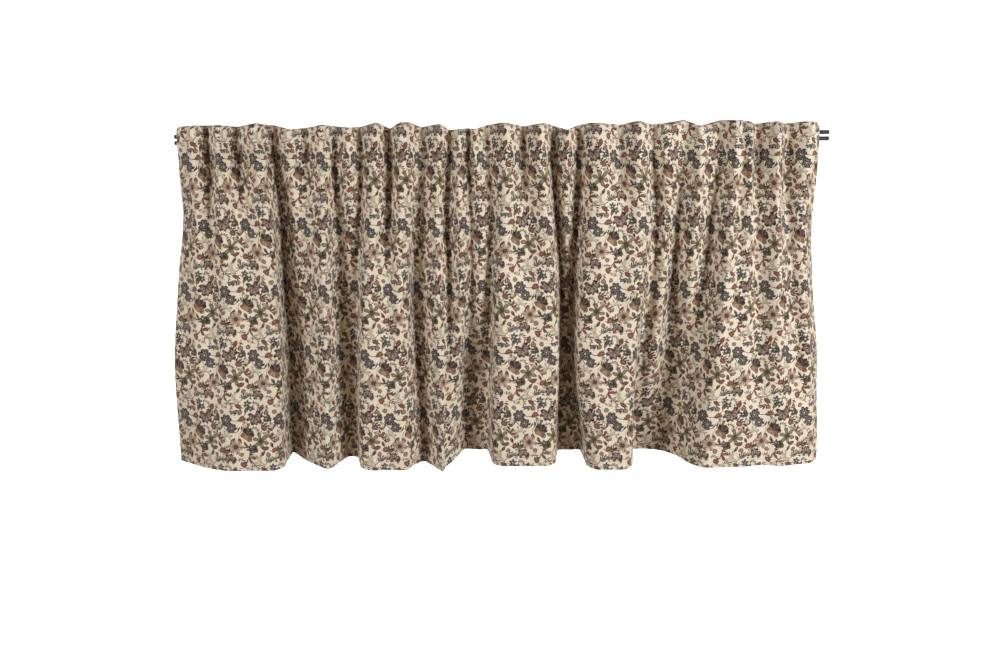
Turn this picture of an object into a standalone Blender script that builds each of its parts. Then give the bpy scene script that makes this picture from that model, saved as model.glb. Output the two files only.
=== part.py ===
"""Gathered window valance hung on a pair of slim curtain rods.

The valance is one piece of printed cotton. Its top is turned over both rods and sewn down behind as a
rod pocket. The skirt hangs from the pocket's seam in uneven gathers, which run together into broad
panels at the hem. Each level of the cloth is one plan line: straight runs between the folds of the
table below, rounded along their length, and deep enough to take up the cloth's flat width.

Frame: metres, +Z up, +X along the rods to the right, -Y into the room. The origin is the centre of the
upper rod's left end face.
"""

from collections import namedtuple

import bmesh
import bpy
import numpy as np

MM = 0.001

# Rods
ROD_LENGTH = 0.865
ROD_RADIUS = 0.0027
ROD_PITCH = 0.0082          # from the upper rod's axis down to the lower one's
ROD_BEVEL_RESOLUTION = 6

# Cloth
CLOTH_THICKNESS = 0.0012
CLOTH_GAP = 0.0005          # between the two layers of the pocket at its seam
ROD_CLEARANCE = 0.0003      # between the rods and the cloth that lies on them
HEM_DROP = 0.446            # from the upper rod's axis down to the hem
SEAM_DROP = 0.030           # down to the seam of the rod pocket
POCKET_HEM_DROP = 0.0285    # down to the edge of the turned-over cloth, behind the seam
UNDER_ROD_DROP = 0.0135     # just below the lower rod
POINT_STEP = 0.0084         # the usual distance between the cloth's points along its width

# The plan line's front, and how far its corners are rounded, at the five levels
LEVEL_DROPS = (0.020, 0.085, 0.189, 0.296, 0.440)
FRONT_AT_LEVEL = (-0.030, -0.032, -0.034, -0.036, -0.038)
ROUNDING_AT_LEVEL = (0.0042, 0.0046, 0.0052, 0.0056, 0.0060)
LINE_STEP = 0.001           # spacing of the points along a plan line
FIRST_REACH = 0.03          # where the search for each section's depth starts
REACH_ROUNDS = 40
ARCH_RISE = 1.03            # how much a low arch over the rod is raised each round
ARCH_ROUNDS = 20
ARCH_SLACK = 0.00001        # how much nearer than its reach a run may pass the rod's axis

# The folds from left to right, one row each, named after the hem's broad panels a to e.
# place: distance from the rods' left end at the five levels, head, upper, middle, lower and hem, in mm
# depth: how far back the fold lies there, from 0 at the front to 100 in the section's deepest folds
# top: height of the head above the upper rod's axis, in mm
# lift: height of the hem above HEM_DROP, in mm
Fold = namedtuple("Fold", "name place depth top lift")
FOLDS = (
    Fold("left edge", (8, 5, -5, -15, -18), (60, 50, 50, 60, 95), 13, 3),
    Fold("a first crest", (34, 33, 30, 27, 22), (5, 10, 10, 20, 35), 14, 1),
    Fold("a first crease", (45, 44, 42, 40, 38), (90, 38, 30, 30, 20), 15, 0),
    Fold("a middle crest", (66, 66, 67, 66, 59), (0, 0, 0, 0, 0), 14, 0),
    Fold("a second crease", (83, 84, 90, 91, 88), (90, 40, 15, 10, 5), 13, 0),
    Fold("a last crest", (113, 121, 126, 127, 121), (0, 0, 0, 0, 0), 16, 0),
    Fold("a edge", (121, 127, 132, 134, 132), (15, 10, 5, 5, 10), 15, 2),
    Fold("first deep fold", (130, 130, 131, 133, 133), (100, 100, 100, 100, 100), 15, 8),
    Fold("ab first ridge", (156, 155, 153, 155, 153), (20, 45, 55, 70, 72), 8, 3),
    Fold("ab soft valley", (172, 172, 169, 168, 168), (95, 55, 50, 50, 42), 11, 3),
    Fold("ab middle crest", (199, 199, 198, 198, 195), (15, 5, 0, 0, 5), 14, 0),
    Fold("second deep fold", (210, 211, 210, 210, 215), (100, 85, 100, 100, 100), 13, 6),
    Fold("ab second ridge", (234, 233, 230, 225, 223), (5, 25, 70, 100, 100), 10, 6),
    Fold("b outer valley", (246, 245, 237, 231, 229), (100, 70, 90, 100, 90), 12, 6),
    Fold("b left edge", (260, 258, 249, 243, 238), (15, 10, 5, 5, 8), 14, 1),
    Fold("b left crest", (270, 267, 261, 258, 254), (0, 0, 0, 0, 0), 16, -1),
    Fold("b middle valley", (284, 282, 278, 275, 272), (95, 55, 25, 8, 5), 9, -1),
    Fold("b right crest", (301, 299, 296, 298, 302), (0, 0, 0, 0, 0), 16, -1),
    Fold("b right edge", (312, 311, 305, 305, 307), (20, 15, 10, 10, 12), 16, 1),
    Fold("bc grey fold", (325, 319, 311, 313, 321), (100, 75, 72, 64, 38), 11, 0),
    Fold("bc broad crest", (352, 347, 347, 348, 351), (20, 25, 12, 8, 0), 14, -4),
    Fold("bc small valley", (363, 359, 360, 358, 349), (100, 88, 75, 40, 20), 7, -4),
    Fold("bc last crest", (377, 377, 379, 370, 360), (10, 15, 15, 25, 25), 7, 4),
    Fold("third deep fold", (388, 389, 389, 381, 377), (100, 100, 100, 100, 95), 9, 14),
    Fold("c outer ridge", (398, 404, 403, 402, 400), (10, 35, 45, 85, 100), 7, 13),
    Fold("c outer valley", (413, 420, 417, 414, 410), (100, 90, 100, 100, 100), 13, 14),
    Fold("c left edge", (433, 432, 426, 422, 418), (10, 5, 8, 8, 10), 15, 5),
    Fold("c left crest", (442, 442, 437, 435, 433), (0, 0, 0, 0, 0), 14, 4),
    Fold("c middle valley", (461, 462, 461, 460, 459), (100, 60, 25, 5, 3), 11, 4),
    Fold("c right crest", (481, 488, 495, 498, 495), (0, 0, 0, 0, 0), 13, 4),
    Fold("c right edge", (489, 495, 503, 506, 502), (20, 12, 10, 8, 12), 14, 5),
    Fold("fourth deep fold", (500, 503, 511, 512, 508), (100, 95, 100, 100, 100), 12, 10),
    Fold("cd thin ridge", (517, 517, 519, 521, 526), (5, 20, 60, 100, 100), 5, 9),
    Fold("d outer valley", (534, 533, 529, 527, 540), (100, 95, 100, 100, 84), 12, 12),
    Fold("d left edge", (549, 548, 540, 532, 546), (15, 8, 8, 8, 15), 14, 0),
    Fold("d left crest", (564, 566, 563, 557, 558), (0, 0, 0, 0, 0), 13, -2),
    Fold("d middle valley", (590, 590, 588, 582, 579), (100, 40, 20, 8, 3), 12, -2),
    Fold("d right crest", (610, 611, 609, 601, 598), (0, 0, 0, 0, 0), 16, -2),
    Fold("d right edge", (618, 619, 616, 610, 608), (20, 12, 10, 10, 15), 15, 0),
    Fold("fifth deep fold", (632, 637, 634, 620, 613), (100, 95, 80, 70, 100), 12, 5),
    Fold("de ridge", (647, 650, 648, 640, 634), (5, 30, 35, 45, 100), 13, 6),
    Fold("de wide valley", (674, 671, 665, 662, 656), (100, 85, 95, 100, 96), 18, 6),
    Fold("de last ridge", (692, 689, 683, 682, 674), (5, 10, 25, 75, 68), 9, 5),
    Fold("e outer valley", (722, 716, 708, 699, 686), (100, 62, 60, 45, 25), 17, 2),
    Fold("e left crest", (737, 733, 727, 716, 702), (0, 0, 0, 0, 0), 16, 0),
    Fold("e crease", (747, 747, 744, 739, 736), (45, 25, 15, 5, 5), 16, 0),
    Fold("e second crest", (756, 756, 757, 760, 763), (5, 5, 5, 5, 5), 14, 1),
    Fold("e middle valley", (767, 768, 772, 775, 784), (95, 34, 25, 20, 20), 12, 2),
    Fold("e third crest", (792, 794, 798, 802, 808), (0, 0, 0, 3, 5), 14, 1),
    Fold("e last valley", (806, 808, 820, 828, 838), (90, 40, 28, 25, 30), 12, 2),
    Fold("e last crest", (832, 829, 835, 842, 851), (15, 15, 15, 12, 35), 14, 2),
    Fold("right edge", (847, 849, 853, 861, 862), (60, 45, 45, 40, 75), 13, 4),
)

# The flat width of the cloth from one named fold to the next of these, or to the right edge, in mm
Section = namedtuple("Section", "start flat_width")
SECTIONS = (
    Section("left edge", 89),
    Section("a middle crest", 217),
    Section("ab middle crest", 116),
    Section("b left crest", 141),
    Section("bc broad crest", 152),
    Section("c left crest", 215),
    Section("d left crest", 244),
    Section("e left crest", 166),
)

CLOTH_COLOUR = (0.60, 0.50, 0.39)
ROD_COLOUR = (0.045, 0.026, 0.018)

# The nearest that the middle of the cloth comes to a rod's axis
ROD_REACH = ROD_RADIUS + ROD_CLEARANCE + CLOTH_THICKNESS / 2

# The rows of points across the cloth, from the hem up
SKIRT_DROPS = (HEM_DROP, 0.385, 0.328, 0.272, 0.218, 0.166, 0.116, 0.070, SEAM_DROP)
HEAD_DROPS = (UNDER_ROD_DROP, 0.0)
ARCH_POINTS = ((-1.0, 0.5), (-0.55, 1.0), (0.55, 1.0), (1.0, 0.5))      # shares of its half width and height
BACK_DROPS = (0.0, UNDER_ROD_DROP, (UNDER_ROD_DROP + POCKET_HEM_DROP) / 2, POCKET_HEM_DROP)


def at_level(values, drop):
    """A value given at the five levels, read smoothly at a drop: a cubic whose slope at each level is the
    mean slope across it."""
    values = np.asarray(values, float)
    drops = np.asarray(LEVEL_DROPS)
    slopes = np.gradient(values, drops, axis=0)
    slopes[0] = slopes[-1] = 0
    drop = min(max(drop, drops[0]), drops[-1])
    below = min(int(np.searchsorted(drops, drop, side="right")), len(drops) - 1)
    above = below - 1
    span = drops[below] - drops[above]
    t = (drop - drops[above]) / span
    return (
        (2 * t**3 - 3 * t**2 + 1) * values[above]
        + (t**3 - 2 * t**2 + t) * span * slopes[above]
        + (3 * t**2 - 2 * t**3) * values[below]
        + (t**3 - t**2) * span * slopes[below]
    )


def lengths_along(points):
    """The length from a line's first point to each of its points."""
    steps = np.hypot(*np.diff(points, axis=0).T)
    return np.concatenate(([0.0], np.cumsum(steps)))


def rounded(corners, rounding):
    """A line through the corners with its bends rounded: each point is the mean of the line near it,
    weighted by a bell curve. The line is turned about its ends there, so that they stay put. Returns the
    points and each one's length along the straight runs."""
    along = lengths_along(corners)
    count = max(int(along[-1] / LINE_STEP), 2)
    stops = np.linspace(0, along[-1], count + 1)
    line = np.stack([np.interp(stops, along, corners[:, axis]) for axis in (0, 1)], axis=1)
    step = stops[1]
    reach = int(3 * rounding / step) + 1
    before = 2 * line[0] - line[reach:0:-1]
    after = 2 * line[-1] - line[-2 : -reach - 2 : -1]
    padded = np.concatenate([before, line, after])
    weights = np.exp(-0.5 * (np.arange(-reach, reach + 1) * step / rounding) ** 2)
    weights /= weights.sum()
    smooth = [np.convolve(padded[:, axis], weights, mode="valid") for axis in (0, 1)]
    return np.stack(smooth, axis=1), stops


def section_bounds():
    """The table row at which each section starts, with the last row."""
    names = [fold.name for fold in FOLDS]
    return np.array([names.index(section.start) for section in SECTIONS] + [len(FOLDS) - 1])


BOUNDS = section_bounds()
FLAT_WIDTHS = np.array([section.flat_width for section in SECTIONS]) * MM


def point_spots():
    """Where the cloth's points lie along the folds, as fold numbers with fractions. Each run from fold to
    fold has the same points at every level, so the mesh's upright lines follow the folds."""
    place = np.array([fold.place for fold in FOLDS]) * MM
    depth = np.array([fold.depth for fold in FOLDS]) / 100 * FIRST_REACH
    runs = np.hypot(np.diff(place, axis=0), np.diff(depth, axis=0)).mean(axis=1)
    counts = np.maximum(np.rint(runs / POINT_STEP).astype(int), 1)
    spots = [number + np.arange(count) / count for number, count in enumerate(counts)]
    return np.append(np.concatenate(spots), len(counts))


SPOTS = point_spots()


def plan_line(drop, base, sense, rounding):
    """The plan line of the cloth's points at one level. Each fold stands its depth behind the base line, or
    with a sense of -1 its height before it, times a reach. The reach of each section is sought until the
    rounded line through the folds is as long there as the section's flat cloth."""
    place = at_level(np.array([fold.place for fold in FOLDS]).T * MM, drop)
    depth = at_level(np.array([fold.depth for fold in FOLDS]).T / 100, drop)
    share = depth if sense > 0 else depth - 1
    numbers = np.arange(len(FOLDS))
    middles = (BOUNDS[:-1] + BOUNDS[1:]) / 2
    reach = np.full(len(SECTIONS), FIRST_REACH)
    for _ in range(REACH_ROUNDS):
        corners = np.stack([place, np.interp(numbers, middles, reach) * share], axis=1)
        line, stops = rounded(corners, rounding)
        along = lengths_along(line)
        bounds = np.interp(lengths_along(corners)[BOUNDS], stops, along)
        hung = np.diff(np.interp(bounds, along, line[:, 0]))
        extra = np.diff(bounds) - hung
        reach = reach * np.sqrt((FLAT_WIDTHS - hung) / extra)
    spots = np.interp(SPOTS, numbers, lengths_along(corners))
    x, y = (np.interp(spots, stops, line[:, axis]) for axis in (0, 1))
    nearest = y.min() if sense > 0 else y.max()
    return np.stack([x, y - nearest + base], axis=1)


def at_drop(line, z):
    """A plan line set at a height, which may change along it."""
    return np.column_stack([line, np.broadcast_to(z, len(line))])


def behind(line, distance):
    """A plan line moved back square to itself."""
    along = np.gradient(line, axis=0)
    square = np.stack([-along[:, 1], along[:, 0]], axis=1)
    return line + distance * square / np.linalg.norm(square, axis=1, keepdims=True)


def rod_arch(front, back, height):
    """The rows of points where the cloth turns over the upper rod, between the pocket's front and back
    plan lines. Where it would touch the rod it is raised until its straight runs clear it."""
    middle = (front + back) / 2
    half = (back - front) / 2
    height = height.copy()
    for _ in range(ARCH_ROUNDS):
        rows = [middle + across * half for across, _ in ARCH_POINTS]
        heights = [up * height for _, up in ARCH_POINTS]
        y = np.array([front[:, 1], *(row[:, 1] for row in rows), back[:, 1]])
        z = np.array([0 * height, *heights, 0 * height])
        run = np.hypot(np.diff(y, axis=0), np.diff(z, axis=0))
        distance = np.abs(y[:-1] * z[1:] - y[1:] * z[:-1]) / run
        crossed = (y[:-1] < ROD_RADIUS) & (y[1:] > -ROD_RADIUS)
        tight = (crossed & (distance < ROD_REACH - ARCH_SLACK)).any(axis=0)
        height[tight] *= ARCH_RISE
    return [at_drop(row, z) for row, z in zip(rows, heights)]


def hung_cloth():
    """The cloth's rows of points, from the hem up the front, over the rods, and down the back to the edge
    of the turned-over cloth."""
    rounding = ROUNDING_AT_LEVEL[0]
    front = plan_line(SEAM_DROP, -ROD_REACH, -1, rounding)
    back = plan_line(SEAM_DROP, ROD_REACH, 1, rounding)
    back[:, 0] = front[:, 0]
    skirt = [
        plan_line(drop, at_level(FRONT_AT_LEVEL, drop), 1, at_level(ROUNDING_AT_LEVEL, drop))
        for drop in SKIRT_DROPS
    ]
    place = np.array([fold.place for fold in FOLDS]) * MM
    lift = np.interp(skirt[0][:, 0], place[:, -1], [fold.lift * MM for fold in FOLDS])
    top = np.interp(front[:, 0], place[:, 0], [fold.top * MM for fold in FOLDS])
    rows = [at_drop(line, lift * (drop / HEM_DROP) ** 2 - drop) for line, drop in zip(skirt, SKIRT_DROPS)]
    rows += [at_drop(front, -drop) for drop in HEAD_DROPS]
    rows += rod_arch(front, back, top - CLOTH_THICKNESS / 2)
    seam_back = behind(skirt[-1], CLOTH_THICKNESS + CLOTH_GAP)
    for drop in BACK_DROPS:
        share = max(drop - UNDER_ROD_DROP, 0) / (SEAM_DROP - UNDER_ROD_DROP)
        rows.append(at_drop(back + share * (seam_back - back), -drop))
    return np.array(rows)


def plain_material(name, colour, roughness, metallic):
    """A Principled material of one linear colour."""
    material = bpy.data.materials.new(name)
    material.use_nodes = True
    shader = material.node_tree.nodes["Principled BSDF"]
    shader.inputs["Base Color"].default_value = (*colour, 1)
    shader.inputs["Roughness"].default_value = roughness
    shader.inputs["Metallic"].default_value = metallic
    return material


def add_object(collection, name, data, material):
    """Put a new object, with its one material, in the valance's collection."""
    data.materials.append(material)
    made = bpy.data.objects.new(name, data)
    collection.objects.link(made)
    return made


def add_valance(collection):
    """The cloth: a flat grid whose points go to their places in the hung cloth, given its thickness."""
    points = hung_cloth()
    up, across = points.shape[0] - 1, points.shape[1] - 1
    cloth = bmesh.new()
    bmesh.ops.create_grid(cloth, x_segments=across, y_segments=up, size=0.5)
    for vertex in cloth.verts:
        row = round((vertex.co.y + 0.5) * up)
        spot = round((vertex.co.x + 0.5) * across)
        vertex.co = points[row, spot]
    mesh = bpy.data.meshes.new("window_valance")
    cloth.to_mesh(mesh)
    cloth.free()
    mesh.shade_smooth()
    material = plain_material("printed cotton", CLOTH_COLOUR, 0.9, 0.0)
    valance = add_object(collection, "window_valance", mesh, material)
    thickness = valance.modifiers.new("Cloth thickness", "SOLIDIFY")
    thickness.thickness = CLOTH_THICKNESS
    thickness.offset = 0


def add_rod(collection, name, z, material):
    """A straight round rod along X, its left end on the plane x = 0."""
    curve = bpy.data.curves.new(name, "CURVE")
    curve.dimensions = "3D"
    curve.bevel_depth = ROD_RADIUS
    curve.bevel_resolution = ROD_BEVEL_RESOLUTION
    curve.use_fill_caps = True
    spline = curve.splines.new("POLY")
    spline.points.add(1)
    spline.points[1].co = (ROD_LENGTH, 0, 0, 1)
    rod = add_object(collection, name, curve, material)
    rod.location.z = z


def main():
    for old in list(bpy.data.objects):
        bpy.data.objects.remove(old)
    collection = bpy.data.collections.new("window_valance_on_rods")
    bpy.context.scene.collection.children.link(collection)
    add_valance(collection)
    lacquer = plain_material("bronze lacquer", ROD_COLOUR, 0.4, 0.5)
    add_rod(collection, "upper_rod", 0.0, lacquer)
    add_rod(collection, "lower_rod", -ROD_PITCH, lacquer)


main()
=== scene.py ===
# %% [markdown]
# # A gathered window valance on two slim rods
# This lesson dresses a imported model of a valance: a band of printed cotton that hangs across the top of a
# window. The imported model, called the frame, has the rods and the cloth at their true sizes. Each new piece
# is worked out with numpy in the same metres, and rides on the frame.

# %% Load the frame
from collections import namedtuple

import bpy
import numpy as np
from mathutils import Matrix, Vector


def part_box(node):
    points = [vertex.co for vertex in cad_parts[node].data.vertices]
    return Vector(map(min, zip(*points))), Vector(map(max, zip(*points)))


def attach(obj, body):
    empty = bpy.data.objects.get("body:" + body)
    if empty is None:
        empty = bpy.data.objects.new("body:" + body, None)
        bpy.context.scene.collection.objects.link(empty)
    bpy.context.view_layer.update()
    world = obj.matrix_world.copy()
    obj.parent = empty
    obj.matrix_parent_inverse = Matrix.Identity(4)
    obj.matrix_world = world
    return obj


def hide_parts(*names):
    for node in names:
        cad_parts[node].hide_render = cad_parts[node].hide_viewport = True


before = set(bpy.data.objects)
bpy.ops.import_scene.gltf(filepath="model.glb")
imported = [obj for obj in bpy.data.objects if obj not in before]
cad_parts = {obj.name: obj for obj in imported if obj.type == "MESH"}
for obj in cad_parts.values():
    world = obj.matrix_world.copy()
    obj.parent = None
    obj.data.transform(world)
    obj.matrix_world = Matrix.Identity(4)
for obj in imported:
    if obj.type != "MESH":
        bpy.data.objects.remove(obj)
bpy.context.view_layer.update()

MM = 0.001
TAU = 2 * np.pi

# %% [markdown]
# ## Sizes
# The origin is the centre of the upper rod's left end face. +X runs along the rods to the right, -Y points
# into the room, and +Z is up. The cloth's top is turned over both rods and sewn down behind, which makes the
# rod pocket. Distances called drops are measured down from the upper rod's axis.

# %% Sizes of the rods and the cloth
rod_low, rod_high = (np.array(corner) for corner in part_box("upper_rod"))
ROD_LENGTH = rod_high[0] - rod_low[0]
ROD_RADIUS = (rod_high[2] - rod_low[2]) / 2
ROD_PITCH = -sum(corner[2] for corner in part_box("lower_rod")) / 2
CLOTH_THICKNESS = 1.2 * MM
CLOTH_GAP = 0.5 * MM  # between the pocket's two layers at its seam
ROD_CLEARANCE = 0.3 * MM
ROD_REACH = ROD_RADIUS + ROD_CLEARANCE + CLOTH_THICKNESS / 2
HEM_DROP = 446 * MM
SEAM_DROP = 30 * MM
UNDER_ROD_DROP = 13.5 * MM
print(f"rods: {ROD_LENGTH:.3f} m long, {2 * ROD_RADIUS / MM:.1f} mm thick, {ROD_PITCH / MM:.1f} mm apart")

# %% [markdown]
# ## The folds
# A gathered cloth is hard to simulate into given folds, so its folds are a table that one can read and edit.
# Each row is one fold, followed from the head down to the hem at five levels. The folds run together into
# five broad panels, called a to e, with deep folds between them.

# %% The table of folds
LEVEL_DROPS = np.array((20, 85, 189, 296, 440)) * MM
FRONT_AT_LEVEL = np.array((-30, -32, -34, -36, -38)) * MM
ROUNDING_AT_LEVEL = np.array((4.2, 4.6, 5.2, 5.6, 6.0)) * MM

# place: mm from the rods' left end at the five levels; depth: 0 at the front to 100 at the back;
# top: mm from the upper rod's axis up to the head's edge; lift: mm from HEM_DROP up to the hem
Fold = namedtuple("Fold", "name place depth top lift")
FOLDS = [Fold(*row) for row in (
    ("left edge", (8, 5, -5, -15, -18), (60, 50, 50, 60, 95), 13, 3),
    ("a first crest", (34, 33, 30, 27, 22), (5, 10, 10, 20, 35), 14, 1),
    ("a first crease", (45, 44, 42, 40, 38), (90, 38, 30, 30, 20), 15, 0),
    ("a middle crest", (66, 66, 67, 66, 59), (0, 0, 0, 0, 0), 14, 0),
    ("a second crease", (83, 84, 90, 91, 88), (90, 40, 15, 10, 5), 13, 0),
    ("a last crest", (113, 121, 126, 127, 121), (0, 0, 0, 0, 0), 16, 0),
    ("a edge", (121, 127, 132, 134, 132), (15, 10, 5, 5, 10), 15, 2),
    ("first deep fold", (130, 130, 131, 133, 133), (100, 100, 100, 100, 100), 15, 8),
    ("ab first ridge", (156, 155, 153, 155, 153), (20, 45, 55, 70, 72), 8, 3),
    ("ab soft valley", (172, 172, 169, 168, 168), (95, 55, 50, 50, 42), 11, 3),
    ("ab middle crest", (199, 199, 198, 198, 195), (15, 5, 0, 0, 5), 14, 0),
    ("second deep fold", (210, 211, 210, 210, 215), (100, 85, 100, 100, 100), 13, 6),
    ("ab second ridge", (234, 233, 230, 225, 223), (5, 25, 70, 100, 100), 10, 6),
    ("b outer valley", (246, 245, 237, 231, 229), (100, 70, 90, 100, 90), 12, 6),
    ("b left edge", (260, 258, 249, 243, 238), (15, 10, 5, 5, 8), 14, 1),
    ("b left crest", (270, 267, 261, 258, 254), (0, 0, 0, 0, 0), 16, -1),
    ("b middle valley", (284, 282, 278, 275, 272), (95, 55, 25, 8, 5), 9, -1),
    ("b right crest", (301, 299, 296, 298, 302), (0, 0, 0, 0, 0), 16, -1),
    ("b right edge", (312, 311, 305, 305, 307), (20, 15, 10, 10, 12), 16, 1),
    ("bc grey fold", (325, 319, 311, 313, 321), (100, 75, 72, 64, 38), 11, 0),
    ("bc broad crest", (352, 347, 347, 348, 351), (20, 25, 12, 8, 0), 14, -4),
    ("bc small valley", (363, 359, 360, 358, 349), (100, 88, 75, 40, 20), 7, -4),
    ("bc last crest", (377, 377, 379, 370, 360), (10, 15, 15, 25, 25), 7, 4),
    ("third deep fold", (388, 389, 389, 381, 377), (100, 100, 100, 100, 95), 9, 14),
    ("c outer ridge", (398, 404, 403, 402, 400), (10, 35, 45, 85, 100), 7, 13),
    ("c outer valley", (413, 420, 417, 414, 410), (100, 90, 100, 100, 100), 13, 14),
    ("c left edge", (433, 432, 426, 422, 418), (10, 5, 8, 8, 10), 15, 5),
    ("c left crest", (442, 442, 437, 435, 433), (0, 0, 0, 0, 0), 14, 4),
    ("c middle valley", (461, 462, 461, 460, 459), (100, 60, 25, 5, 3), 11, 4),
    ("c right crest", (481, 488, 495, 498, 495), (0, 0, 0, 0, 0), 13, 4),
    ("c right edge", (489, 495, 503, 506, 502), (20, 12, 10, 8, 12), 14, 5),
    ("fourth deep fold", (500, 503, 511, 512, 508), (100, 95, 100, 100, 100), 12, 10),
    ("cd thin ridge", (517, 517, 519, 521, 526), (5, 20, 60, 100, 100), 5, 9),
    ("d outer valley", (534, 533, 529, 527, 540), (100, 95, 100, 100, 84), 12, 12),
    ("d left edge", (549, 548, 540, 532, 546), (15, 8, 8, 8, 15), 14, 0),
    ("d left crest", (564, 566, 563, 557, 558), (0, 0, 0, 0, 0), 13, -2),
    ("d middle valley", (590, 590, 588, 582, 579), (100, 40, 20, 8, 3), 12, -2),
    ("d right crest", (610, 611, 609, 601, 598), (0, 0, 0, 0, 0), 16, -2),
    ("d right edge", (618, 619, 616, 610, 608), (20, 12, 10, 10, 15), 15, 0),
    ("fifth deep fold", (632, 637, 634, 620, 613), (100, 95, 80, 70, 100), 12, 5),
    ("de ridge", (647, 650, 648, 640, 634), (5, 30, 35, 45, 100), 13, 6),
    ("de wide valley", (674, 671, 665, 662, 656), (100, 85, 95, 100, 96), 18, 6),
    ("de last ridge", (692, 689, 683, 682, 674), (5, 10, 25, 75, 68), 9, 5),
    ("e outer valley", (722, 716, 708, 699, 686), (100, 62, 60, 45, 25), 17, 2),
    ("e left crest", (737, 733, 727, 716, 702), (0, 0, 0, 0, 0), 16, 0),
    ("e crease", (747, 747, 744, 739, 736), (45, 25, 15, 5, 5), 16, 0),
    ("e second crest", (756, 756, 757, 760, 763), (5, 5, 5, 5, 5), 14, 1),
    ("e middle valley", (767, 768, 772, 775, 784), (95, 34, 25, 20, 20), 12, 2),
    ("e third crest", (792, 794, 798, 802, 808), (0, 0, 0, 3, 5), 14, 1),
    ("e last valley", (806, 808, 820, 828, 838), (90, 40, 28, 25, 30), 12, 2),
    ("e last crest", (832, 829, 835, 842, 851), (15, 15, 15, 12, 35), 14, 2),
    ("right edge", (847, 849, 853, 861, 862), (60, 45, 45, 40, 75), 13, 4),
)]
SECTION_WIDTHS = {  # mm of flat cloth from each of these folds to the next
    "left edge": 89, "a middle crest": 217, "ab middle crest": 116, "b left crest": 141,
    "bc broad crest": 152, "c left crest": 215, "d left crest": 244, "e left crest": 166,
}
NAMES = [fold.name for fold in FOLDS]
PLACE = np.array([fold.place for fold in FOLDS]).T * MM
DEPTH = np.array([fold.depth for fold in FOLDS]).T / 100
FLAT_WIDTHS = np.array(list(SECTION_WIDTHS.values())) * MM
FLAT_WIDTH = FLAT_WIDTHS.sum()
BOUNDS = np.array([NAMES.index(start) for start in SECTION_WIDTHS] + [len(FOLDS) - 1])
print(f"{len(FOLDS)} folds in {len(SECTION_WIDTHS)} sections, {FLAT_WIDTH:.2f} m of flat cloth")

# %% [markdown]
# ## One level of the cloth
# Seen from above, each level of the cloth is a zigzag line through the folds with its corners rounded. The
# cloth can't stretch, so each section of the zigzag is made just deep enough for its rounded line to be as
# long as the flat cloth.

# %% Helpers for lines
LINE_STEP = 1.0 * MM
BELL_REACH = 3  # how far a bell curve is followed each way, in its own widths


def at_level(values, drop):
    """Values given at the five levels, read at a drop: the cubic between the two nearest levels whose slope
    at each level is the mean slope across it."""
    slopes = np.gradient(values, LEVEL_DROPS, axis=0)
    slopes[0] = slopes[-1] = 0
    drop = np.clip(drop, LEVEL_DROPS[0], LEVEL_DROPS[-1])
    below = min(int(np.searchsorted(LEVEL_DROPS, drop, side="right")), len(LEVEL_DROPS) - 1)
    span = LEVEL_DROPS[below] - LEVEL_DROPS[below - 1]
    t = (drop - LEVEL_DROPS[below - 1]) / span
    return (
        (2 * t**3 - 3 * t**2 + 1) * values[below - 1]
        + (t**3 - 2 * t**2 + t) * span * slopes[below - 1]
        + (3 * t**2 - 2 * t**3) * values[below]
        + (t**3 - t**2) * span * slopes[below]
    )


def lengths_along(points):
    """The running sum of the distances from each point of a line to the next."""
    steps = np.linalg.norm(np.diff(points, axis=0), axis=-1)
    return np.concatenate((np.zeros((1, *steps.shape[1:])), np.cumsum(steps, axis=0)))


def read_off(line, along, at):
    """Points of a line at given lengths, between the points whose lengths along it are known."""
    return np.stack([np.interp(at, along, column) for column in line.T], axis=1)


def unit(vectors):
    """Vectors divided by their lengths."""
    return vectors / np.linalg.norm(vectors, axis=-1, keepdims=True)


def rounded(corners, rounding):
    """Each point of the line is the mean of the line near it, weighted by a bell curve of that width. The
    line is turned about its ends, so that they stay put."""
    along = lengths_along(corners)
    stops = np.linspace(0, along[-1], max(int(along[-1] / LINE_STEP), 2) + 1)
    line = read_off(corners, along, stops)
    step = stops[1]
    reach = int(BELL_REACH * rounding / step) + 1
    before = 2 * line[0] - line[reach:0:-1]
    after = 2 * line[-1] - line[-2 : -reach - 2 : -1]
    padded = np.concatenate([before, line, after])
    weights = np.exp(-0.5 * (np.arange(-reach, reach + 1) * step / rounding) ** 2)
    weights /= weights.sum()
    return np.stack([np.convolve(column, weights, mode="valid") for column in padded.T], axis=1), stops

# %% Plan lines
POINT_STEP = 3.0 * MM  # between the cloth's points across its width
FIRST_REACH = 30 * MM
REACH_ROUNDS = 40


def point_spots():
    """Where the cloth's points lie along the folds, as fold numbers with fractions. The same at each level,
    so the mesh's upright lines follow the folds."""
    runs = np.hypot(np.diff(PLACE, axis=1), np.diff(DEPTH * FIRST_REACH, axis=1)).mean(axis=0)
    counts = np.maximum(np.rint(runs / POINT_STEP).astype(int), 1)
    spots = [fold + np.arange(count) / count for fold, count in enumerate(counts)]
    return np.append(np.concatenate(spots), len(counts))


SPOTS = point_spots()


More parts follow.
